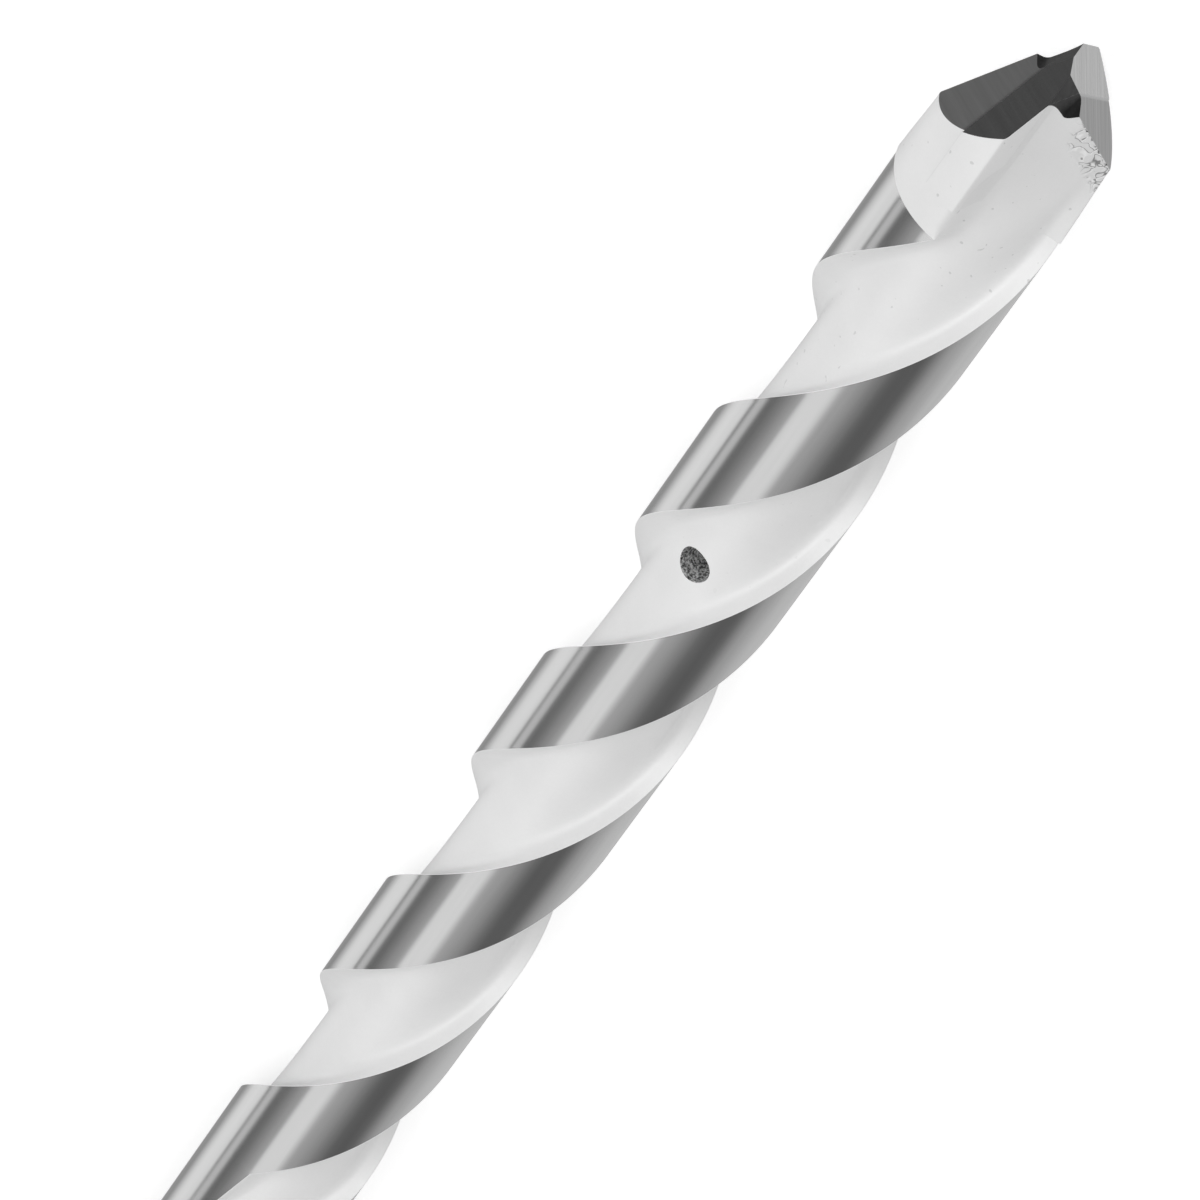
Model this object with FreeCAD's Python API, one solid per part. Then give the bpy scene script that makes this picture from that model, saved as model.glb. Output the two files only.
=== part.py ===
import FreeCAD, Part
import math
import os

# Bellhanger drill bit, 3/8 in by 12 in, lying at rest along X with its point at +X.
# Everything is modelled about the drill's own axis, upright with the point at the top,
# and laid down at the end. Angles go round that axis, seen from the point.

# Driving dimensions, in millimetres and degrees
overall_length = 304.8
cutting_diameter = 9.525
head_diameter = 9.3
bar_diameter = 9.1
shank_chamfer = 0.8

# Helical flutes: two, right hand, with a wall under the cutting edge, a round floor and a heel wall
full_flute_length = 99.8
runout_length = 8.0
runout_end_share = 0.93
runout_sections = 10
flute_lead = 44.3
floor_radius = 2.95
floor_radius_at_heel = 3.22
floor_rise_at_heel = 9.6
heel_angle = 94.4
heel_wall_lean = 6.0
floor_corner_reach = 0.55
heel_corner_reach = 0.5
body_section_step = 24.0

# Straight flutes of the head: the same wall, and one flat heel wall that leaves a thick web
head_length = 10.15
head_web_half = 1.86
head_heel_wall_angle = 39.9
head_corner_reach = 0.6
blend_above_head_foot = 5.5
blend_below_head_foot = 1.5
blend_sections = 8

# Ground point: a roof of two faces, a brazed plate and two gashes
relief_angle = 47.7
crest_angle = 17.0
plate_thickness = 2.0
plate_height = 7.9
plate_angle = -18.5
braze_gap = 0.1
gash_depth = 1.42
gash_side_offset = 1.27
gash_direction = -3.1
gash_fall = 13.4
gash_wall_lean = 34.8
gash_floor_rise = 16.2
gash_root_radius = 0.3

# Hole through the web for pulling a wire back
wire_hole_diameter = 2.0
wire_hole_from_tip = 39.9
wire_hole_angle = 46.0

# How the drill lies: the angle round its axis that points up
up_angle = 18.0

bar_radius = bar_diameter / 2
head_radius = head_diameter / 2
cutting_radius = cutting_diameter / 2
head_foot = overall_length - head_length
blend_top = head_foot + blend_above_head_foot
blend_bottom = head_foot - blend_below_head_foot
full_flute_bottom = overall_length - full_flute_length
runout_bottom = full_flute_bottom - runout_length
reach = 2 * overall_length


def polar(radius, angle, height=0.0):
    """A point at a radius and an angle in degrees round the axis."""
    turn = math.radians(angle)
    return FreeCAD.Vector(radius * math.cos(turn), radius * math.sin(turn), height)


def turned(shape, angle):
    """A copy of a shape, turned about the drill's axis."""
    copy = shape.copy()
    copy.rotate(FreeCAD.Vector(0, 0, 0), FreeCAD.Vector(0, 0, 1), angle)
    return copy


def towards(start, end, distance):
    """The point at a distance from start on the way to end."""
    return start + (end - start).normalize() * distance


def crossing(point_a, way_a, point_b, way_b):
    """Where two lines in the plane meet, each given by a point and a direction."""
    gap = point_b - point_a
    share = (gap.x * way_b.y - gap.y * way_b.x) / (way_a.x * way_b.y - way_a.y * way_b.x)
    return point_a + way_a * share


def rake_angle_at(radius):
    """The angle of the wall under the cutting edge, in line with the plate's front face."""
    return plate_angle + math.degrees(math.asin(plate_thickness / 2 / radius))


def body_flute(radius):
    """Control points of one flute in the helical length, from the cutting edge to the heel."""
    cutting_edge = polar(radius, rake_angle_at(radius))
    heel = polar(radius, heel_angle)
    start_angle = rake_angle_at(floor_radius) + math.degrees(floor_corner_reach / floor_radius)
    end_angle = heel_angle - math.degrees(heel_corner_reach / floor_radius_at_heel)
    floor_start = polar(floor_radius, start_angle)
    floor_end = polar(floor_radius_at_heel, end_angle)
    start_way = polar(1, start_angle + 90.0)
    end_way = polar(1, end_angle + 90.0 - floor_rise_at_heel)
    root_corner = crossing(floor_start, start_way, cutting_edge, polar(1, plate_angle))
    heel_corner = crossing(floor_end, end_way, heel, polar(1, heel_angle - heel_wall_lean))
    sweep = math.radians(end_angle - start_angle)
    handle = 4 / 3 * math.tan(sweep / 4) * (floor_radius + floor_radius_at_heel) / 2
    return [
        cutting_edge,
        towards(root_corner, cutting_edge, floor_corner_reach),
        root_corner,
        floor_start,
        floor_start + start_way * handle,
        floor_end - end_way * handle,
        floor_end,
        heel_corner,
        towards(heel_corner, heel, heel_corner_reach),
        heel,
    ]


def head_flute(radius):
    """The same control points in the head, where floor and heel wall are one flat face."""
    cutting_edge = polar(radius, rake_angle_at(radius))
    heel = polar(radius, head_heel_wall_angle + math.degrees(math.acos(head_web_half / radius)))
    wall_middle = polar(head_web_half, head_heel_wall_angle)
    root_corner = crossing(wall_middle, heel - wall_middle, cutting_edge, polar(1, plate_angle))
    floor_start = towards(root_corner, heel, head_corner_reach)
    on_wall = [floor_start + (heel - floor_start) * share for share in (0.25, 0.5, 0.75, 0.82, 0.89)]
    return [
        cutting_edge,
        towards(root_corner, cutting_edge, head_corner_reach),
        root_corner,
        floor_start,
    ] + on_wall + [heel]


def body_share(height):
    """How far the flutes have changed from the head's form, 0, to the helical length's, 1."""
    share = (blend_top - height) / (blend_top - blend_bottom)
    share = min(max(share, 0.0), 1.0)
    return share * share * (3 - 2 * share)


def angle_of(point):
    return math.degrees(math.atan2(point.y, point.x))


def flute_points(radius, height, depth_share=1.0, width_share=1.0):
    """One flute's control points at a height; the shares below 1 close it at the run-out."""
    share = body_share(height)
    from_axis = []
    angles = []
    for in_head, in_body in zip(head_flute(radius), body_flute(radius)):
        blended = in_head.Length * (1 - share) + in_body.Length * share
        from_axis.append(radius - (radius - blended) * depth_share)
        angles.append(angle_of(in_head) * (1 - share) + angle_of(in_body) * share)
    middle = (angles[0] + angles[-1]) / 2
    angles = [middle + (angle - middle) * width_share for angle in angles]
    return [polar(distance, angle) for distance, angle in zip(from_axis, angles)]


def bezier(points):
    curve = Part.BezierCurve()
    curve.setPoles(points)
    return curve.toShape()


def section(radius, height, depth_share=1.0, width_share=1.0):
    """The bar's closed outline at a height, with both flutes and both lands."""
    flute = flute_points(radius, height, depth_share, width_share)
    land_start = angle_of(flute[-1])
    land_end = angle_of(flute[0]) + 180.0
    land_middle = polar(radius, (land_start + land_end) / 2)
    half = [
        Part.LineSegment(flute[0], flute[1]).toShape(),
        bezier(flute[1:4]),
        bezier(flute[3:7]),
        bezier(flute[6:9]),
        Part.LineSegment(flute[8], flute[9]).toShape(),
        Part.Arc(flute[-1], land_middle, polar(radius, land_end)).toShape(),
    ]
    wire = Part.Wire(half + [turned(edge, 180.0) for edge in half])
    wire = turned(wire, helix_turn(height))
    wire.translate(FreeCAD.Vector(0, 0, height))
    return wire


def helix_turn(height):
    """How far the flutes have turned at a height; they are straight in the head."""
    return min(0.0, 360.0 * (height - head_foot) / flute_lead)


def steps_between(top, bottom, count):
    """Heights from top to bottom in even steps, without the top one."""
    return [top + (bottom - top) * i / count for i in range(1, count + 1)]


def loft(wires):
    return Part.makeLoft(wires, True, False)


def fluted_bar():
    """The helical length: the change from the head, the even helix and the run-out."""
    change = [head_foot] + steps_between(head_foot, blend_bottom, int(blend_sections / 2))
    turns = (blend_bottom - full_flute_bottom) / flute_lead
    helix_sections = int(math.ceil(360.0 * turns / body_section_step))
    helix = [blend_bottom] + steps_between(blend_bottom, full_flute_bottom, helix_sections)
    bar = loft([section(bar_radius, height) for height in change])
    bar = bar.fuse(loft([section(bar_radius, height) for height in helix]))
    return bar.fuse(runout())


def runout():
    """Where the cutter lifts out of the bar: the flutes grow shallow and narrow together."""
    wires = [section(bar_radius, full_flute_bottom)]
    for height in steps_between(full_flute_bottom, runout_bottom, int(runout_sections)):
        share = runout_end_share * (full_flute_bottom - height) / runout_length
        wires.append(section(bar_radius, height, (1 - share ** 2) ** 1.5, 1 - share))
    return loft(wires)


def shank():
    """The plain round shank, chamfered at its back end."""
    bar = Part.makeCylinder(bar_radius, runout_bottom)
    back_edge = [edge for edge in bar.Edges if abs(edge.CenterOfMass.z) < 1e-6 and len(edge.Vertexes) == 1]
    return bar.makeChamfer(shank_chamfer, back_edge)


def head_blank():
    """The head before grinding: straight flutes that grow shallower towards the head's foot."""
    top = Part.Face(section(head_radius, blend_top)).extrude(FreeCAD.Vector(0, 0, overall_length - blend_top))
    heights = [blend_top] + steps_between(blend_top, head_foot, int(blend_sections))
    return top.fuse(loft([section(head_radius, height) for height in heights]))


def point_roof():
    """Everything under the two ground faces, which meet in the chisel edge."""
    half_width = 2 * cutting_radius
    drop = half_width * math.tan(math.radians(relief_angle))
    outline = Part.makePolygon([
        FreeCAD.Vector(-reach / 2, 0, overall_length),
        FreeCAD.Vector(-reach / 2, half_width, overall_length - drop),
        FreeCAD.Vector(-reach / 2, half_width, -1),
        FreeCAD.Vector(-reach / 2, -half_width, -1),
        FreeCAD.Vector(-reach / 2, -half_width, overall_length - drop),
        FreeCAD.Vector(-reach / 2, 0, overall_length),
    ])
    roof = Part.Face(outline).extrude(FreeCAD.Vector(reach, 0, 0))
    return turned(roof, crest_angle)


def gash():
    """The wedge that a wheel grinds away beside the chisel edge, to bring the lip to the middle."""
    arm = 3 * cutting_radius
    lean = math.radians(gash_wall_lean)
    rise = math.radians(gash_floor_rise)
    wedge = Part.Face(Part.makePolygon([
        FreeCAD.Vector(0, 0, 0),
        FreeCAD.Vector(0, arm * math.cos(rise), arm * math.sin(rise)),
        FreeCAD.Vector(0, arm, 2 * arm),
        FreeCAD.Vector(0, -arm * math.sin(lean), arm * math.cos(lean)),
        FreeCAD.Vector(0, 0, 0),
    ])).extrude(FreeCAD.Vector(2 * arm, 0, 0))
    root_edge = [
        edge for edge in wedge.Edges
        if math.hypot(edge.CenterOfMass.y, edge.CenterOfMass.z) < 1e-6
    ]
    wedge = wedge.makeFillet(gash_root_radius, root_edge)
    wedge.translate(FreeCAD.Vector(-arm, 0, 0))
    wedge.rotate(FreeCAD.Vector(0, 0, 0), FreeCAD.Vector(0, 1, 0), gash_fall)
    wedge = turned(wedge, gash_direction)
    wedge.translate(polar(gash_side_offset, gash_direction + 90.0, overall_length - gash_depth))
    return wedge


def gashes():
    return [gash(), turned(gash(), 180.0)]


def plate_slab(thickness, bottom):
    """A slab across the head, as wide as the cut, standing on the angle of the cutting plate."""
    slab = Part.makeBox(2 * cutting_radius, thickness, overall_length - bottom)
    slab.translate(FreeCAD.Vector(-cutting_radius, -thickness / 2, bottom))
    return turned(slab, plate_angle)


def carbide_plate():
    """The cutting plate, round at its ends, under the ground faces and beside the gashes."""
    bottom = overall_length - plate_height
    rim = Part.makeCylinder(cutting_radius, plate_height, FreeCAD.Vector(0, 0, bottom))
    plate = plate_slab(plate_thickness, bottom).common(rim)
    return plate.common(point_roof()).cut(gashes())


def plate_slot():
    """The slot for the plate, with room for braze on both sides and below."""
    return plate_slab(plate_thickness + 2 * braze_gap, overall_length - plate_height - braze_gap)


def ground_head():
    return head_blank().common(point_roof()).cut(gashes())


def wire_hole():
    """A hole across the bar, from floor to floor of the two flutes."""
    height = overall_length - wire_hole_from_tip
    angle = helix_turn(height) + wire_hole_angle
    start = polar(-bar_radius, angle, height)
    return Part.makeCylinder(wire_hole_diameter / 2, 2 * bar_radius, start, polar(1, angle))


def drill_body():
    """One bar of steel: shank, flutes and head, with the slot for the plate."""
    bar = shank().fuse([fluted_bar(), ground_head()]).removeSplitter()
    return bar.cut([plate_slot(), wire_hole()])


def braze_joint():
    """The braze that fills the slot round the plate."""
    filling = ground_head().common(plate_slot())
    return filling.cut(carbide_plate())


def lay_down(shape):
    """Turn the drill to lie along X with its middle over the origin, the bar touching Z = 0."""
    laid = turned(shape, -up_angle)
    laid.translate(FreeCAD.Vector(0, 0, -overall_length / 2))
    laid.rotate(FreeCAD.Vector(0, 0, 0), FreeCAD.Vector(1, 0, 1), 180.0)
    laid.translate(FreeCAD.Vector(0, 0, bar_radius))
    return laid


def one_solid(shape):
    """The single solid of a shape, so that a stray piece shows at once."""
    if len(shape.Solids) != 1 or not shape.isValid():
        raise ValueError("expected one valid solid, found %d" % len(shape.Solids))
    return shape.Solids[0]


parts = {
    "drill_body": drill_body,
    "carbide_tip": carbide_plate,
    "braze_joint": braze_joint,
}

os.makedirs("parts", exist_ok=True)
for name, make in parts.items():
    piece = lay_down(one_solid(make()))
    piece.exportStep(os.path.join("parts", name + ".step"))
    box = piece.BoundBox
    print(name, "volume %.2f" % piece.Volume, "faces", len(piece.Faces))
    print("  x %.3f to %.3f" % (box.XMin, box.XMax))
    print("  y %.3f to %.3f" % (box.YMin, box.YMax))
    print("  z %.3f to %.3f" % (box.ZMin, box.ZMax))
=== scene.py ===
import math

import bmesh
import bpy
from mathutils import Matrix, Vector


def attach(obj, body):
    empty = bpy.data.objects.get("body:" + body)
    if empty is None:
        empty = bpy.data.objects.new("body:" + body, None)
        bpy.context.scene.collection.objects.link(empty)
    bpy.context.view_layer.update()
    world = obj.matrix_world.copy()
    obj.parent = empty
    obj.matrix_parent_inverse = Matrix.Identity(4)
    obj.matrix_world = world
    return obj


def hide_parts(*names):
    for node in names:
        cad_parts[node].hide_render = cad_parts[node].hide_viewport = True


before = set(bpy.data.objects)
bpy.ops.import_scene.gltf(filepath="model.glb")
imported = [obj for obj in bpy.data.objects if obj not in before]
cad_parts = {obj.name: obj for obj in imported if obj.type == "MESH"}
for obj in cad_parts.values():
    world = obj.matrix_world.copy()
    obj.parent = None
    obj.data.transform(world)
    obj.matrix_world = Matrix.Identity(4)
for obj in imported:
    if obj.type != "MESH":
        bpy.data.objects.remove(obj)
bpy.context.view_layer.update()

MM = 0.001

# Sizes of the drill in millimetres, about its own axis, with heights from the shank's end to the point
overall_length = 304.8
cutting_radius = 9.525 / 2
head_radius = 9.3 / 2
bar_radius = 9.1 / 2
shank_chamfer = 0.8
full_flute_length = 99.8
runout_length = 8.0
runout_end_share = 0.93
flute_lead = 44.3
floor_radius = 2.95
floor_radius_at_heel = 3.22
floor_rise_at_heel = 9.6
heel_angle = 94.4
heel_wall_lean = 6.0
floor_corner_reach = 0.55
heel_corner_reach = 0.5
head_length = 10.15
head_web_half = 1.86
head_heel_wall_angle = 39.9
head_corner_reach = 0.6
blend_above_head_foot = 5.5
blend_below_head_foot = 1.5
relief_angle = 47.7
crest_angle = 17.0
plate_thickness = 2.0
plate_height = 7.9
plate_angle = -18.5
braze_gap = 0.1
gash_depth = 1.42
gash_side_offset = 1.27
gash_direction = -3.1
gash_fall = 13.4
gash_wall_lean = 34.8
gash_floor_rise = 16.2
gash_root_radius = 0.3
wire_hole_radius = 1.0
wire_hole_from_tip = 39.9
wire_hole_angle = 46.0
up_angle = 18.0

head_foot = overall_length - head_length
blend_top = head_foot + blend_above_head_foot
blend_bottom = head_foot - blend_below_head_foot
full_flute_bottom = overall_length - full_flute_length
runout_bottom = full_flute_bottom - runout_length

# Small rounded edges in millimetres, which the plain solids leave out
edge_break = 0.04
lip_edge_break = 0.12
plate_edge_break = 0.18
head_foot_edge_break = 0.45
lip_break_ends_from_tip = 3.0
foot_break_starts_above = 1.5
crisp_edge_fades_over = 0.7

# How far the ground faces' lines run askew, in degrees
grinding_line_skew = 28.0

# How finely the drill is drawn: millimetres between its sections, and spare lengths for the cuts.
# An edge stays sharp from the last angle on
helix_step = 0.35
head_step = 2.0
shank_step = 8.0
shank_start_gap = 0.05
stock_above_tip = 6.0
plate_room_spare = 0.004
same_place = 1e-6
sharp_from_angle = 32.0

# The photo's view: how the axis lies in the picture, and where one point of it is seen from
picture_width_px = 1200
focal_length_px = 7456
sensor_mm = 36.0
axis_in_picture = 54.84
axis_towards_camera = 46.13
seen_point_from_tip = 45.18
seen_point_right = 4.605
seen_point_distance = 390.1

# The studio: the key light in metres and watts, and how bright floor and surroundings are
key_place = (0.45, 0.50, 0.60)
key_aim = (0.10, 0.0, 0.0)
key_size = (0.6, 0.6)
key_power = 2.1
floor_tone = 0.80
floor_glow = 0.50
fill_level = 0.77
dark_level = 0.12


# The drill's outlines

def polar(radius, angle):
    """A point in the plane across the axis."""
    turn = math.radians(angle)
    return Vector((radius * math.cos(turn), radius * math.sin(turn)))


def angle_of(point):
    return math.degrees(math.atan2(point.y, point.x))


def towards(start, end, distance):
    return start + (end - start).normalized() * distance


def crossing(point_a, way_a, point_b, way_b):
    """Where two lines in the plane meet, each given by a point and a direction."""
    gap = point_b - point_a
    share = (gap.x * way_b.y - gap.y * way_b.x) / (way_a.x * way_b.y - way_a.y * way_b.x)
    return point_a + way_a * share


def rake_angle_at(radius):
    """The angle of the wall under the cutting edge, in line with the plate's front face."""
    return plate_angle + math.degrees(math.asin(plate_thickness / 2 / radius))


def body_flute(radius):
    """Control points of one flute in the helical length, from the cutting edge to the heel."""
    cutting_edge = polar(radius, rake_angle_at(radius))
    heel = polar(radius, heel_angle)
    start_angle = rake_angle_at(floor_radius) + math.degrees(floor_corner_reach / floor_radius)
    end_angle = heel_angle - math.degrees(heel_corner_reach / floor_radius_at_heel)
    floor_start = polar(floor_radius, start_angle)
    floor_end = polar(floor_radius_at_heel, end_angle)
    start_way = polar(1, start_angle + 90.0)
    end_way = polar(1, end_angle + 90.0 - floor_rise_at_heel)
    root_corner = crossing(floor_start, start_way, cutting_edge, polar(1, plate_angle))
    heel_corner = crossing(floor_end, end_way, heel, polar(1, heel_angle - heel_wall_lean))
    sweep = math.radians(end_angle - start_angle)
    handle = 4 / 3 * math.tan(sweep / 4) * (floor_radius + floor_radius_at_heel) / 2
    return [
        cutting_edge,
        towards(root_corner, cutting_edge, floor_corner_reach),
        root_corner,
        floor_start,
        floor_start + start_way * handle,
        floor_end - end_way * handle,
        floor_end,
        heel_corner,
        towards(heel_corner, heel, heel_corner_reach),
        heel,
    ]


def head_flute(radius):
    """The same control points in the head, where floor and heel wall are one flat face."""
    cutting_edge = polar(radius, rake_angle_at(radius))
    heel = polar(radius, head_heel_wall_angle + math.degrees(math.acos(head_web_half / radius)))
    wall_middle = polar(head_web_half, head_heel_wall_angle)
    root_corner = crossing(wall_middle, heel - wall_middle, cutting_edge, polar(1, plate_angle))
    floor_start = towards(root_corner, heel, head_corner_reach)
    on_wall = [floor_start + (heel - floor_start) * share for share in (0.25, 0.5, 0.75, 0.82, 0.89)]
    return [
        cutting_edge,
        towards(root_corner, cutting_edge, head_corner_reach),
        root_corner,
        floor_start,
    ] + on_wall + [heel]


def eased(share):
    """A share from 0 to 1 that starts and stops softly."""
    share = min(max(share, 0.0), 1.0)
    return share * share * (3 - 2 * share)


def body_share(height):
    """How far the flutes have changed from the head's form, 0, to the helical length's, 1."""
    return eased((blend_top - height) / (blend_top - blend_bottom))


def flute_points(radius, height, depth_share, width_share):
    """One flute's control points at a height; the shares below 1 close it at the run-out."""
    share = body_share(height)
    from_axis = []
    angles = []
    for in_head, in_body in zip(head_flute(radius), body_flute(radius)):
        blended = in_head.length * (1 - share) + in_body.length * share
        from_axis.append(radius - (radius - blended) * depth_share)
        angles.append(angle_of(in_head) * (1 - share) + angle_of(in_body) * share)
    middle = (angles[0] + angles[-1]) / 2
    angles = [middle + (angle - middle) * width_share for angle in angles]
    return [polar(distance, angle) for distance, angle in zip(from_axis, angles)]


def stretch(controls, steps):
    """Points along a line, a quadratic or a cubic curve, without its last one."""
    points = []
    for i in range(steps):
        t = i / steps
        row = list(controls)
        while len(row) > 1:
            row = [a.lerp(b, t) for a, b in zip(row, row[1:])]
        points.append(row[0])
    return points


# Points along the parts of one flute, along each rounded edge and along a land
FLUTE_STEPS = (3, 7, 14, 7, 3)
EDGE_STEPS = 6
LAND_STEPS = 36
FLUTE_FACES = sum(FLUTE_STEPS) + 2 * EDGE_STEPS


def edge_breaks(height):
    """How far the land's two edges are rounded: blasted soft in the head, and crisp below it."""
    if height < head_foot:
        return edge_break, edge_break
    from_tip = overall_length - height
    change_length = head_length - lip_break_ends_from_tip - foot_break_starts_above
    down = eased((from_tip - lip_break_ends_from_tip) / change_length)
    foot = eased((height - head_foot) / crisp_edge_fades_over)
    at_lip = lip_edge_break * (1 - down) + head_foot_edge_break * down
    return edge_break * (1 - foot) + at_lip * foot, edge_break * (1 - foot) + lip_edge_break * foot


def outline(radius, height, depth_share=1.0, width_share=1.0):
    """Half of the bar's outline at a height: one flute from its cutting edge, then the next land."""
    flute = flute_points(radius, height, depth_share, width_share)
    at_lip, at_heel = edge_breaks(height)
    before = polar(radius, angle_of(flute[0]) - math.degrees(at_lip * width_share / radius))
    after = polar(radius, angle_of(flute[-1]) + math.degrees(at_heel * width_share / radius))
    wall_start = towards(flute[0], flute[1], at_lip * width_share)
    wall_end = towards(flute[-1], flute[-2], at_heel * width_share)
    spans = (
        (before, flute[0], wall_start), (wall_start, flute[1]), flute[1:4], flute[3:7], flute[6:9],
        (flute[8], wall_end), (wall_end, flute[-1], after))
    points = []
    for controls, steps in zip(spans, (EDGE_STEPS,) + FLUTE_STEPS + (EDGE_STEPS,)):
        points += stretch(controls, steps)
    start = angle_of(after)
    end = angle_of(before) + 180.0
    points += [polar(radius, start + (end - start) * i / LAND_STEPS) for i in range(LAND_STEPS)]
    return points


def helix_turn(height):
    """How far the flutes are turned at a height, in degrees; the head's are straight."""
    return min(0.0, 360.0 * (height - head_foot) / flute_lead)


def laid(point, height):
    """A point across the axis and a height, on the drill as it lies along X."""
    x, y = point
    turn = math.radians(-up_angle)
    up = x * math.cos(turn) - y * math.sin(turn)
    side = x * math.sin(turn) + y * math.cos(turn)
    return Vector((height - overall_length / 2, -side, up + bar_radius)) * MM


def ring(radius, height, depth_share=1.0, width_share=1.0):
    """The whole outline at a height, on the laid drill."""
    half = outline(radius, height, depth_share, width_share)
    turn = Matrix.Rotation(math.radians(helix_turn(height)), 2)
    half = [turn @ point for point in half]
    return [laid(point, height) for point in half + [-point for point in half]]


def round_ring(radius, height):
    """The shank's circle, with its points in line with those of the run-out's end."""
    points = ring(bar_radius, runout_bottom, (1 - runout_end_share ** 2) ** 1.5, 1 - runout_end_share)
    centre = laid((0, 0), height)
    middle = laid((0, 0), runout_bottom)
    return [centre + (point - middle).normalized() * radius * MM for point in points]


# Mesh work shared by the pieces

# The order of the materials on every piece and every cutter
SATIN, POLISHED, GROUND, GASHED, DRILLED = FINISHES = range(5)


def extrude_to(bm, verts, places, material):
    """Carry a closed row of points on to its next places, and return the new row."""
    edges = [bm.edges.get((a, b)) for a, b in zip(verts, verts[1:] + verts[:1])]
    made = bmesh.ops.extrude_edge_only(bm, edges=edges)["geom"]
    new = {item for item in made if isinstance(item, bmesh.types.BMVert)}
    row = []
    for vert, place in zip(verts, places):
        above = next(edge.other_vert(vert) for edge in vert.link_edges if edge.other_vert(vert) in new)
        above.co = place
        row.append(above)
    for index, edge in enumerate(edges):
        face = next(f for f in edge.link_faces if all(v in new or v in edge.verts for v in f.verts))
        face.material_index = material(index)
    return row


def cap(bm, row, material):
    """Close a row of points with one face."""
    bm.faces.new(row).material_index = material


def cut_away(bm, point, normal):
    """Take away all that lies beyond a plane, and return the faces that close the cut."""
    parts = bm.verts[:] + bm.edges[:] + bm.faces[:]
    cut = bmesh.ops.bisect_plane(bm, geom=parts, plane_co=point, plane_no=normal, clear_outer=True)
    rim = [item for item in cut["geom_cut"] if isinstance(item, bmesh.types.BMEdge)]
    return bmesh.ops.edgeloop_fill(bm, edges=rim)["faces"]


def grind_point(bm):
    """The two faces of the point, which fall to both sides and meet in the chisel edge."""
    tip = laid((0, 0), overall_length)
    fall = math.radians(relief_angle)
    for side in (crest_angle - 90.0, crest_angle + 90.0):
        aside = laid(polar(1, side), overall_length) - tip
        normal = (aside.normalized() * math.sin(fall) + Vector((1, 0, 0)) * math.cos(fall)).normalized()
        for face in cut_away(bm, tip, normal):
            face.material_index = GROUND


def gash_cutter(turned_by):
    """The wedge that a wheel grinds away beside the chisel edge, with its root rounded."""
    arm = 3 * cutting_radius
    lean = math.radians(gash_wall_lean)
    rise = math.radians(gash_floor_rise)
    floor_way = Vector((0, math.cos(rise), math.sin(rise)))
    wall_way = Vector((0, -math.sin(lean), math.cos(lean)))
    half = floor_way.angle(wall_way) / 2
    reach = gash_root_radius / math.tan(half)
    centre = (floor_way + wall_way).normalized() * gash_root_radius / math.sin(half)
    start = wall_way * reach - centre
    sweep = math.pi - 2 * half
    steps = EDGE_STEPS
    corner = [centre + Matrix.Rotation(sweep * i / steps, 3, "X") @ start for i in range(steps + 1)]
    profile = corner + [floor_way * arm, Vector((0, arm, 2 * arm)), wall_way * arm]
    placed = Matrix.Rotation(math.radians(gash_direction + turned_by), 4, "Z")
    placed = placed @ Matrix.Translation((0, gash_side_offset, overall_length - gash_depth))
    placed = placed @ Matrix.Rotation(math.radians(gash_fall), 4, "Y") @ Matrix.Translation((-arm, 0, 0))
    bm = bmesh.new()
    row = [bm.verts.new(point) for point in profile]
    face = bm.faces.new(row)
    made = bmesh.ops.extrude_face_region(bm, geom=[face])["geom"]
    moved = [item for item in made if isinstance(item, bmesh.types.BMVert)]
    bmesh.ops.translate(bm, verts=moved, vec=(2 * arm, 0, 0))
    for vert in bm.verts:
        point = placed @ vert.co
        vert.co = laid(point.xy, point.z)
    for side in bm.faces:
        side.material_index = GASHED
    return cutter(bm, "gash")


def slot_cutter():
    """The slot for the plate, with room for braze."""
    bottom = overall_length - plate_height - braze_gap
    half = plate_thickness / 2 + braze_gap
    bm = bmesh.new()
    bmesh.ops.create_cube(bm, size=1.0)
    turn = Matrix.Rotation(math.radians(plate_angle), 2)
    for vert in bm.verts:
        across = turn @ Vector((vert.co.x * 4 * cutting_radius, vert.co.y * 2 * half))
        vert.co = laid(across, bottom + (vert.co.z + 0.5) * 2 * plate_height)
    return cutter(bm, "slot")


def hole_cutter():
    """The drill that makes the wire hole, from floor to floor of the flutes."""
    height = overall_length - wire_hole_from_tip
    angle = helix_turn(height) + wire_hole_angle
    radius = wire_hole_radius * MM
    bm = bmesh.new()
    bmesh.ops.create_cone(
        bm, cap_ends=True, segments=64, radius1=radius, radius2=radius, depth=4 * bar_radius * MM)
    centre = laid((0, 0), height)
    way = laid(polar(1, angle), height) - centre
    place = Matrix.Translation(centre) @ way.to_track_quat("Z", "Y").to_matrix().to_4x4()
    bmesh.ops.transform(bm, matrix=place, verts=bm.verts)
    for face in bm.faces:
        face.material_index = DRILLED
    return cutter(bm, "hole")


def face_outwards(bm):
    """Turn all faces of a closed shape outwards."""
    bmesh.ops.recalc_face_normals(bm, faces=bm.faces)
    if bm.calc_volume(signed=True) < 0:
        bmesh.ops.reverse_faces(bm, faces=bm.faces)


def linked(name, data):
    """A new object in the scene."""
    obj = bpy.data.objects.new(name, data)
    bpy.context.scene.collection.objects.link(obj)
    return obj


def as_object(bm, name, materials):
    """An object made of worked faces, with its materials in their order."""
    mesh = bpy.data.meshes.new(name)
    bm.to_mesh(mesh)
    bm.free()
    for material in materials:
        mesh.materials.append(material)
    return linked(name, mesh)


def unpainted(bm, name):
    """An object whose materials are still to come, but whose faces know their places."""
    return as_object(bm, name, [None for finish in FINISHES])


def cutter(bm, name):
    """A tool shape for cut_with."""
    face_outwards(bm)
    return unpainted(bm, name)


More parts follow.
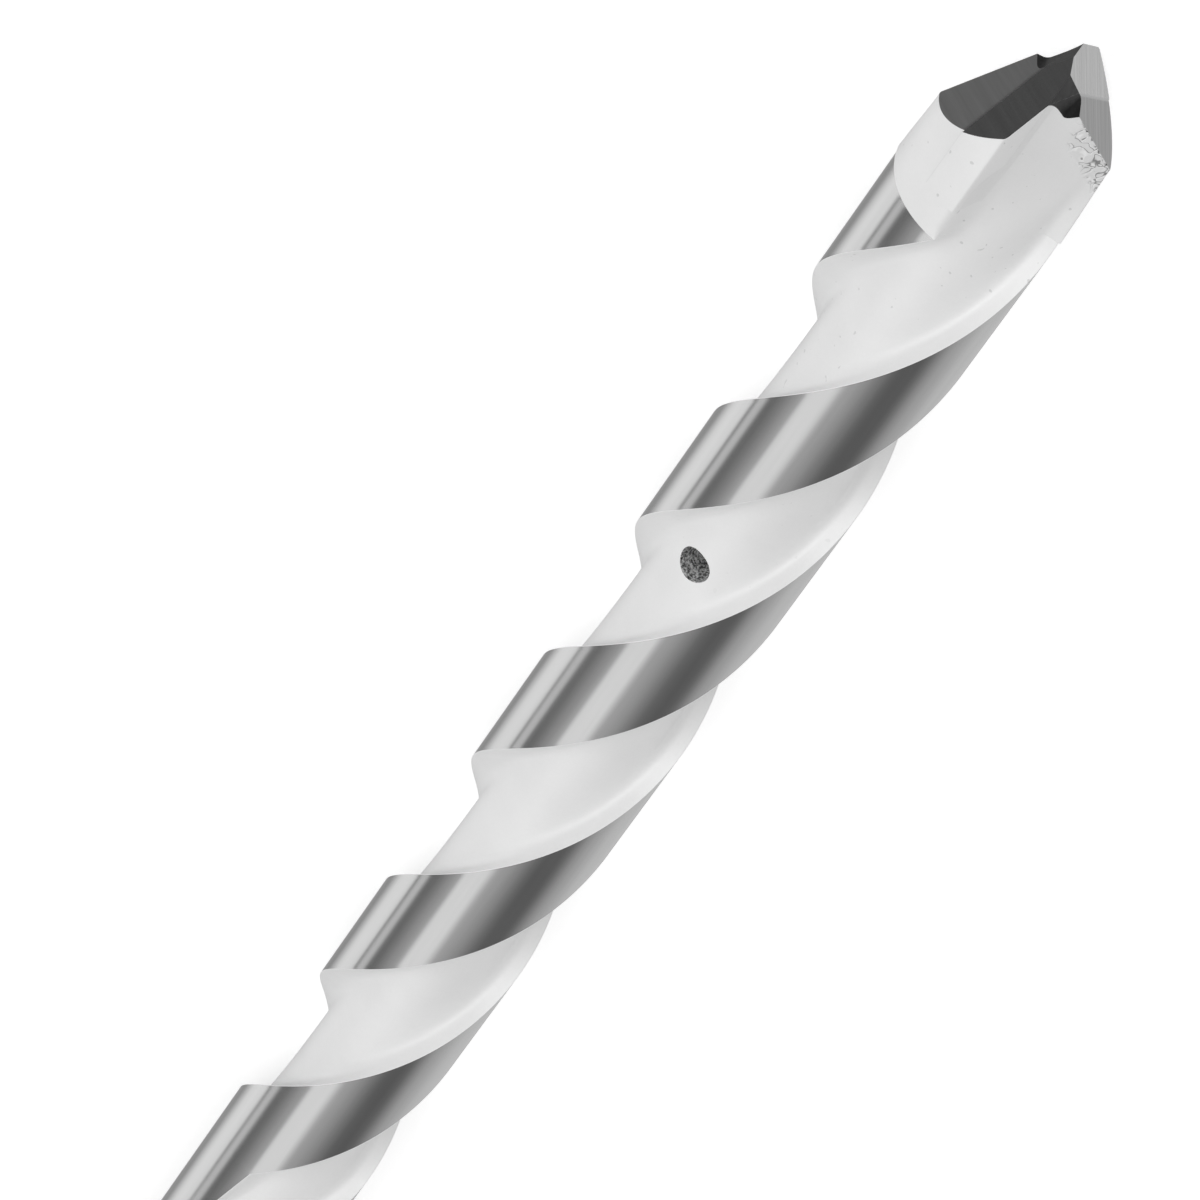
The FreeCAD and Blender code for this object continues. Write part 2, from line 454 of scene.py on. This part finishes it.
def copied(obj, name, materials):
    """A copy of an unpainted piece, with its materials."""
    mesh = obj.data.copy()
    for slot, material in enumerate(materials):
        mesh.materials[slot] = material
    return linked(name, mesh)


def cut_with(obj, cutters, operation="DIFFERENCE"):
    """Take the cutters away from a piece one after another, or keep what lies inside them."""
    for tool in cutters:
        step = obj.modifiers.new(tool.name, "BOOLEAN")
        step.operation = operation
        step.solver = "EXACT"
        step.material_mode = "INDEX"
        step.object = tool
    bpy.context.view_layer.update()
    evaluated = obj.evaluated_get(bpy.context.evaluated_depsgraph_get())
    finished = bpy.data.meshes.new_from_object(evaluated)
    obj.modifiers.clear()
    obj.data = finished
    for tool in cutters:
        bpy.data.objects.remove(tool)


def finish_shading(obj):
    """Smooth faces, with the real edges kept crisp."""
    bm = bmesh.new()
    bm.from_mesh(obj.data)
    for face in bm.faces:
        face.smooth = True
    for edge in bm.edges:
        if len(edge.link_faces) == 2:
            one, other = edge.link_faces
            edge.smooth = (
                edge.calc_face_angle(0.0) < math.radians(sharp_from_angle)
                and one.material_index == other.material_index
            )
    bm.to_mesh(obj.data)
    bm.free()


# The pieces

def bar_blank():
    """The steel bar with its shank, run-out, helical flutes and head, and the ground point."""
    top = overall_length + stock_above_tip
    half_faces = FLUTE_FACES + LAND_STEPS

    def in_head(index):
        return SATIN

    def in_bar(index):
        return SATIN if index % half_faces < FLUTE_FACES else POLISHED

    def on_shank(index):
        return POLISHED

    def even(start, end, step):
        """Heights from start, left out, to end, in even steps of about the length given."""
        count = max(1, round(abs(end - start) / step))
        return [start + (end - start) * i / count for i in range(1, count + 1)]

    bm = bmesh.new()
    row = [bm.verts.new(place) for place in ring(head_radius, top)]
    for a, b in zip(row, row[1:] + row[:1]):
        bm.edges.new((a, b))
    first = list(row)
    for height in even(top, blend_top, head_step) + even(blend_top, head_foot, helix_step):
        row = extrude_to(bm, row, ring(head_radius, height), in_head)
    row = extrude_to(bm, row, ring(bar_radius, head_foot), in_head)
    for height in even(head_foot, full_flute_bottom, helix_step):
        row = extrude_to(bm, row, ring(bar_radius, height), in_bar)
    for height in even(full_flute_bottom, runout_bottom, helix_step):
        share = runout_end_share * (full_flute_bottom - height) / runout_length
        row = extrude_to(bm, row, ring(bar_radius, height, (1 - share ** 2) ** 1.5, 1 - share), in_bar)
    row = extrude_to(bm, row, round_ring(bar_radius, runout_bottom - shank_start_gap), in_bar)
    for height in even(runout_bottom, shank_chamfer, shank_step):
        row = extrude_to(bm, row, round_ring(bar_radius, height), on_shank)
    row = extrude_to(bm, row, round_ring(bar_radius - shank_chamfer, 0.0), on_shank)
    cap(bm, row, POLISHED)
    cap(bm, first, GROUND)
    face_outwards(bm)
    grind_point(bm)
    blank = unpainted(bm, "bar_blank")
    cut_with(blank, [gash_cutter(0.0), gash_cutter(180.0)])
    return blank


def plate_stock(thickness):
    """The plate before its grinding: a slab with round ends."""
    bottom = overall_length - plate_height
    bm = bmesh.new()
    bmesh.ops.create_cone(
        bm, cap_ends=True, segments=192, depth=2 * plate_height,
        radius1=cutting_radius, radius2=cutting_radius)
    for vert in bm.verts:
        height = bottom if vert.co.z < 0 else overall_length + stock_above_tip
        vert.co = laid(vert.co.xy, height)
    face_outwards(bm)
    for side in (plate_angle - 90.0, plate_angle + 90.0):
        normal = laid(polar(1, side), bottom) - laid((0, 0), bottom)
        cut_away(bm, laid(polar(thickness / 2, side), bottom), normal)
    return bm


def drill_body(blank, materials):
    """The finished bar, with the slot for the plate and the wire hole."""
    body = copied(blank, "drill_body_finished", materials)
    cut_with(body, [slot_cutter(), hole_cutter()])
    finish_shading(body)
    return body


def braze_joint(blank, materials):
    """The braze that fills the slot round the plate, finished flush with the head."""
    joint = copied(blank, "braze_joint_finished", materials)
    cut_with(joint, [slot_cutter()], "INTERSECT")
    cut_with(joint, [cutter(plate_stock(plate_thickness + plate_room_spare), "plate_room")])
    finish_shading(joint)
    return joint


def cutting_plate(materials):
    """The plate, with its two lip edges rounded, ground with the point."""
    bm = plate_stock(plate_thickness)
    lip = laid(polar(cutting_radius, rake_angle_at(cutting_radius)), 0.0)
    middle = laid((0, 0), 0.0)
    lips = [lip.yz, (2 * middle - lip).yz]

    def on_lip(vert):
        return any((vert.co.yz - place).length < same_place for place in lips)

    edges = [edge for edge in bm.edges if all(on_lip(vert) for vert in edge.verts)]
    bmesh.ops.bevel(
        bm, geom=edges, offset=plate_edge_break * MM, segments=EDGE_STEPS, profile=0.5,
        affect="EDGES", material=-1)
    grind_point(bm)
    plate = as_object(bm, "carbide_plate_finished", materials)
    cut_with(plate, [gash_cutter(0.0), gash_cutter(180.0)])
    finish_shading(plate)
    return plate


# Shader maths

class Sock:
    """A node socket that takes part in Python expressions."""

    def __init__(self, tree, socket):
        self.tree = tree
        self.socket = socket

    def make(self, kind, settings=(), inputs=(), output=0):
        """Any node: its settings first, then the values or links of its sockets."""
        node = self.tree.nodes.new(kind)
        for name, value in dict(settings).items():
            setattr(node, name, value)
        for key, value in dict(inputs).items():
            if isinstance(value, Sock):
                self.tree.links.new(value.socket, node.inputs[key])
            else:
                node.inputs[key].default_value = value
        return Sock(self.tree, node.outputs[output])

    def maths(self, operation, *values):
        inputs = dict(enumerate(values))
        return self.make("ShaderNodeMath", {"operation": operation}, inputs)

    def __add__(self, other):
        return self.maths("ADD", self, other)

    def __radd__(self, other):
        return self.maths("ADD", other, self)

    def __sub__(self, other):
        return self.maths("SUBTRACT", self, other)

    def __rsub__(self, other):
        return self.maths("SUBTRACT", other, self)

    def __mul__(self, other):
        return self.maths("MULTIPLY", self, other)

    def __rmul__(self, other):
        return self.maths("MULTIPLY", other, self)

    def smooth(self, start, end):
        """0 before start, 1 after end, and a soft change between; start may be the larger."""
        if start < end:
            return self.ramp(start, end)
        return 1 - self.ramp(end, start)

    def ramp(self, start, end):
        """0 up to start and 1 from end, with a soft change between."""
        settings = {"interpolation_type": "SMOOTHSTEP"}
        inputs = {"Value": self, "From Min": start, "From Max": end}
        return self.make("ShaderNodeMapRange", settings, inputs)

    def mixed(self, low, high):
        """A colour between two, by this value."""
        return self.make("ShaderNodeMix", {"data_type": "RGBA"}, {0: self, 6: low, 7: high}, 2)

    def as_grey(self):
        """The grey whose brightness is this value."""
        return self.mixed(grey(0.0), grey(1.0))


def grey(level):
    return (level, level, level, 1.0)


def new_material(name):
    """A material with its tree, its shader and the place on the object, in metres."""
    material = bpy.data.materials.new(name)
    material.use_nodes = True
    tree = material.node_tree
    shader = tree.nodes["Principled BSDF"]
    place = tree.nodes.new("ShaderNodeTexCoord")
    return material, tree, shader, Sock(tree, place.outputs["Object"])


def along(place, way):
    """How far a point is along a direction, in metres."""
    return place.make("ShaderNodeVectorMath", {"operation": "DOT_PRODUCT"}, {0: place, 1: way}, 1)


def noise(place, scale, detail=3.0, roughness=0.5, stretch_by=(1, 1, 1), distortion=0.0):
    """Cloudy noise, its size given by scale per metre, drawn out by stretch_by."""
    mapped = place.make("ShaderNodeMapping", {}, {"Vector": place, "Scale": stretch_by})
    inputs = {"Vector": mapped, "Scale": scale, "Detail": detail, "Roughness": roughness}
    return place.make("ShaderNodeTexNoise", {}, {**inputs, "Distortion": distortion})


def bump(height, strength, distance):
    """The normal of a surface that rises by a distance, in metres, where height is 1."""
    inputs = {"Height": height, "Strength": strength, "Distance": distance}
    return height.make("ShaderNodeBump", {}, inputs)


def connect(tree, shader, **values):
    """Set the shader's sockets to values or link them."""
    names = {"color": "Base Color", "roughness": "Roughness", "normal": "Normal", "metallic": "Metallic"}
    for key, value in values.items():
        socket = shader.inputs[names[key]]
        if isinstance(value, Sock):
            tree.links.new(value.socket, socket)
        else:
            socket.default_value = value


def satin_steel():
    """Fine blasted steel of the flutes and the head, with faint clouds, pits and one rough corner; the
    pits and the corner's creases carry painted shade, and the corner's ridges carry painted highlights.
    """
    material, tree, shader, place = new_material("satin_steel")
    ahead, aside, up = (along(place, way) for way in ((1, 0, 0), (0, 1, 0), (0, 0, 1)))
    clouds = noise(place, 210.0, 4.0, 0.55)
    grain = noise(place, 6000.0, 2.0, 0.6)
    near_head = ahead.smooth(0.100, 0.142)
    # Pits are small dents in the bump, and are also painted darker as the shade inside them
    pits = noise(place, 2900.0, 0.0, 0.4).smooth(0.80, 0.83) * near_head

    # The rough corner lies under the ground face towards -Y, on the wall that faces up
    tip = overall_length / 2 * MM
    below_face = tip - ahead + aside * math.tan(math.radians(relief_angle))
    corner = aside.smooth(-0.0012, -0.0022) * up.smooth(0.0040, 0.0045)
    rough = below_face.smooth(0.0021, 0.0011) * corner
    crinkle = noise(place, 1400.0, 1.0, 0.5, distortion=1.0)
    crease_painted_shade = crinkle.smooth(0.43, 0.46) - crinkle.smooth(0.47, 0.50)
    # The rough corner's creases are painted darker as shade and its ridges painted lighter as
    # highlights, on top of its bump relief
    ridge_painted_highlight = crinkle.smooth(0.49, 0.53) - crinkle.smooth(0.55, 0.60)
    at_edge = below_face.smooth(0.00022, 0.00005) * corner
    chips = noise(place, 4200.0, 1.0, 0.5).smooth(0.52, 0.60) * at_edge

    tone = (clouds - 0.5) * 0.10 + (grain - 0.5) * 0.03 + 0.82 - pits * 0.16
    tone = tone - rough * crease_painted_shade * 0.50 + rough * (ridge_painted_highlight * 0.14 - 0.05) - chips * 0.5
    relief = grain * 0.2 - pits * 0.8 + rough * crinkle.smooth(0.40, 0.60) * 30.0
    connect(
        tree, shader,
        color=tone.as_grey(),
        roughness=0.50 + (clouds - 0.5) * 0.10,
        normal=bump(relief, 0.30, 0.00002),
        metallic=0.12,
    )
    return material


def polished_steel():
    """Centreless-ground steel of the lands and the shank, with fine lines along the drill."""
    material, tree, shader, place = new_material("polished_steel")
    lines = noise(place, 2400.0, 3.0, 0.6, stretch_by=(0.02, 1, 1))
    fine = noise(place, 9000.0, 2.0, 0.5, stretch_by=(0.05, 1, 1))
    clouds = noise(place, 180.0, 3.0, 0.5)
    tone = 0.74 + (lines - 0.5) * 0.08 + (clouds - 0.5) * 0.05
    connect(
        tree, shader,
        color=tone.as_grey(),
        roughness=0.12 + lines * 0.06 + (clouds - 0.5) * 0.06,
        normal=bump(fine + lines, 0.10, 0.000004),
        metallic=1.0,
    )
    return material


def grinding_lines(place):
    """Lines that a wheel leaves on both faces of the point, a little askew to the chisel edge."""
    tip = laid((0, 0), overall_length)
    crest_way = laid(polar(1, crest_angle), overall_length) - tip
    side_way = laid(polar(1, crest_angle + 90.0), overall_length) - tip
    from_tip = place.make("ShaderNodeVectorMath", {"operation": "SUBTRACT"}, {0: place, 1: tip})
    on_crest = along(from_tip, crest_way.normalized())
    aside = along(from_tip, side_way.normalized())
    side = aside.maths("SIGN", aside)
    askew = math.radians(grinding_line_skew)
    down_slope = math.cos(askew) / math.cos(math.radians(relief_angle))
    across = on_crest * side * math.sin(askew) - aside.maths("ABSOLUTE", aside) * down_slope
    lined = place.make("ShaderNodeCombineXYZ", {}, {0: across, 1: on_crest * 0.03, 2: side})
    inputs = {"Vector": lined, "Scale": 2200.0, "Detail": 5.0, "Roughness": 0.75}
    return place.make("ShaderNodeTexNoise", {}, inputs)


def on_far_face(place):
    """1 on the point's face towards +Y, which is ground finer than the other one, as in the photo."""
    return along(place, (0, 1, 0)).smooth(-0.0001, 0.0001)


def ground_steel():
    """The steel of the point's faces, fresh from the wheel."""
    material, tree, shader, place = new_material("ground_steel")
    lines = grinding_lines(place)
    finer = on_far_face(place)
    tone = 0.58 + (lines - 0.5) * (0.80 - finer * 0.55)
    connect(
        tree, shader,
        color=tone.as_grey(),
        roughness=0.42 + (lines - 0.5) * 0.15,
        normal=bump(lines * (1.0 - finer * 0.7), 0.20, 0.000012),
        metallic=1.0,
    )
    return material


def ground_carbide():
    """Sintered carbide, darker than the steel beside it and finely ground."""
    material, tree, shader, place = new_material("ground_carbide")
    lines = grinding_lines(place)
    speck = noise(place, 6000.0, 1.0, 0.5)
    finer = on_far_face(place)
    tone = 0.46 + (lines - 0.5) * (0.60 - finer * 0.42) + (speck - 0.5) * 0.04
    connect(
        tree, shader,
        color=tone.as_grey(),
        roughness=0.20 + (lines - 0.5) * 0.10,
        normal=bump(lines * (1.0 - finer * 0.7), 0.15, 0.00001),
        metallic=1.0,
    )
    return material


def gash_painted_shade():
    """The gashes, ground with a coarser wheel and dull, and painted dark as the shade that lies in these
    recesses.
    """
    material, tree, shader, place = new_material("gash_painted_shade")
    marks = noise(place, 2500.0, 3.0, 0.6)
    connect(
        tree, shader,
        # The near-black colour is painted shade for the gash recesses; only the marks are the grinding's
        # own
        color=(0.11 + (marks - 0.5) * 0.08).as_grey(),
        roughness=0.42,
        normal=bump(marks, 0.2, 0.00001),
        metallic=1.0,
    )
    return material


def drilled_steel():
    """The wall of the wire hole: dark, with the marks of its drill."""
    material, tree, shader, place = new_material("drilled_steel")
    marks = noise(place, 7000.0, 1.0, 0.7)
    connect(
        tree, shader,
        color=marks.smooth(0.30, 0.70).mixed(grey(0.06), grey(0.95)),
        roughness=0.55,
        normal=bump(marks, 0.5, 0.00004),
        metallic=0.3,
    )
    return material


def braze(name, tone, roughness, metallic):
    """Silver braze, blasted with the head's sides or ground with the point's faces."""
    material, tree, shader, place = new_material(name)
    grain = noise(place, 5200.0, 2.0, 0.6)
    connect(
        tree, shader,
        color=(tone + (grain - 0.5) * 0.06).as_grey(),
        roughness=roughness,
        normal=bump(grain, 0.1, 0.00001),
        metallic=metallic,
    )
    return material


# Floor, light and camera

def studio_floor():
    """A plain pale floor that shows white and keeps the drill's soft shadow."""
    bm = bmesh.new()
    bmesh.ops.create_grid(bm, x_segments=1, y_segments=1, size=4.0)
    material = bpy.data.materials.new("pale_floor")
    material.use_nodes = True
    tree = material.node_tree
    tree.nodes.clear()
    path = tree.nodes.new("ShaderNodeLightPath")
    camera_ray = Sock(tree, path.outputs["Is Camera Ray"])
    glossy_ray = Sock(tree, path.outputs["Is Glossy Ray"])
    matt = camera_ray.make("ShaderNodeBsdfDiffuse", {}, {"Color": grey(floor_tone)})
    glow_inputs = {"Color": grey(1.0), "Strength": camera_ray * floor_glow}
    glow = camera_ray.make("ShaderNodeEmission", {}, glow_inputs)
    lit = camera_ray.make("ShaderNodeAddShader", {}, {0: matt, 1: glow})
    open_way = camera_ray.make("ShaderNodeBsdfTransparent", {}, {})
    shown = camera_ray.make("ShaderNodeMixShader", {}, {0: glossy_ray, 1: lit, 2: open_way})
    output = tree.nodes.new("ShaderNodeOutputMaterial")
    tree.links.new(shown.socket, output.inputs["Surface"])
    as_object(bm, "studio_floor", [material])


def band(angle, start, end, soft_start, soft_end):
    """1 between two angles, with a soft edge outside each."""
    return angle.smooth(start - soft_start, start) * angle.smooth(end + soft_end, end)


def studio_world():
    """Long soft lights and dark gaps that run beside the drill, by their angle from overhead."""
    world = bpy.data.worlds.new("studio")
    world.use_nodes = True
    bpy.context.scene.world = world
    tree = world.node_tree
    tree.nodes.clear()
    coordinate = tree.nodes.new("ShaderNodeTexCoord")
    way = Sock(tree, coordinate.outputs["Generated"])
    split = tree.nodes.new("ShaderNodeSeparateXYZ")
    tree.links.new(way.socket, split.inputs[0])
    ahead = Sock(tree, split.outputs[0])
    to_side = Sock(tree, split.outputs[1])
    upward = Sock(tree, split.outputs[2])
    angle = to_side.maths("DEGREES", to_side.maths("ARCTAN2", to_side, upward))

    # Lights by angle, from overhead at 0 to level at 90 on the +Y side and -90 on the other
    overhead = band(angle, 24, 46, 14, 5) * 0.42
    around = angle.smooth(-36, 12) * 0.30 - angle.smooth(46, 84) * 0.26 + angle.smooth(130, 170) * 0.15
    beside = band(angle, 92, 100, 5, 4) * 0.45 + band(angle, 109, 130, 5, 34) * 0.70
    behind = angle.smooth(-48, -84) * 0.31 + band(angle, -150, -110, 30, 30) * 0.14
    low_end = band(angle, -150, -110, 30, 30) * ahead.smooth(-0.55, -0.30) * 0.30

    # Ahead of the point they shine from above only, so that its faces show dark
    beside_drill = ahead.smooth(0.10, -0.35)
    lit_part = beside_drill + (1 - beside_drill) * band(angle, -75, 75, 15, 15)
    level = (overhead + around + beside + behind + low_end) * lit_part + dark_level

    path = tree.nodes.new("ShaderNodeLightPath")
    camera_ray = Sock(tree, path.outputs["Is Camera Ray"])
    glossy_ray = Sock(tree, path.outputs["Is Glossy Ray"])
    strength = camera_ray + (1 - camera_ray - glossy_ray) * fill_level + glossy_ray * level
    inputs = {"Color": grey(1.0), "Strength": strength}
    background = camera_ray.make("ShaderNodeBackground", {}, inputs)
    output = tree.nodes.new("ShaderNodeOutputWorld")
    tree.links.new(background.socket, output.inputs["Surface"])


def softbox(name, place, aim, size, power):
    """A large soft light that faces a point."""
    data = bpy.data.lights.new(name, "AREA")
    data.shape = "RECTANGLE"
    data.size, data.size_y = size
    data.energy = power
    lamp = linked(name, data)
    lamp.location = place
    lamp.rotation_euler = (Vector(aim) - Vector(place)).to_track_quat("-Z", "Y").to_euler()


def photo_camera():
    """The photo's view, from how the drill's axis runs in the picture."""
    across = math.radians(axis_in_picture)
    near = math.radians(axis_towards_camera)
    seen = Vector((seen_point_right, 0.0, -seen_point_distance))
    level = math.cos(near)
    axis = Vector((level * math.cos(across), level * math.sin(across), math.sin(near)))
    facing = -(seen - axis * seen.dot(axis)).normalized()
    seen_axes = Matrix((axis, facing, axis.cross(facing))).transposed()
    drill_axis = Vector((1, 0, 0))
    up = (laid(polar(1, 0.0), 0.0) - laid((0, 0), 0.0)).normalized()
    drill_axes = Matrix((drill_axis, up, drill_axis.cross(up))).transposed()
    turn = drill_axes @ seen_axes.transposed()
    point = laid((0, 0), overall_length - seen_point_from_tip)
    data = bpy.data.cameras.new("photo_camera")
    data.sensor_width = sensor_mm
    data.lens = sensor_mm * focal_length_px / picture_width_px
    data.clip_start = 0.01
    data.clip_end = 50.0
    camera = linked("photo_camera", data)
    camera.matrix_world = Matrix.Translation(point - turn @ seen * MM) @ turn.to_4x4()
    bpy.context.scene.camera = camera


# Put the drill together

satin = satin_steel()
polished = polished_steel()
ground = ground_steel()
gash_shade = gash_painted_shade()
drilled = drilled_steel()

blank = bar_blank()
body = drill_body(blank, [satin, polished, ground, gash_shade, drilled])
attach(body, "root")
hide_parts("drill_body")

plate = cutting_plate([satin, satin, ground_carbide(), gash_shade, satin])
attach(plate, "root")
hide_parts("carbide_tip")

blasted_braze = braze("blasted_braze", 0.78, 0.50, 0.15)
ground_braze = braze("ground_braze", 0.52, 0.30, 1.0)
joint = braze_joint(blank, [blasted_braze, blasted_braze, ground_braze, gash_shade, blasted_braze])
bpy.data.objects.remove(blank)
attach(joint, "root")
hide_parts("braze_joint")

studio_floor()
studio_world()
softbox("key", key_place, key_aim, key_size, key_power)
photo_camera()
bpy.context.scene.view_settings.view_transform = "Standard"
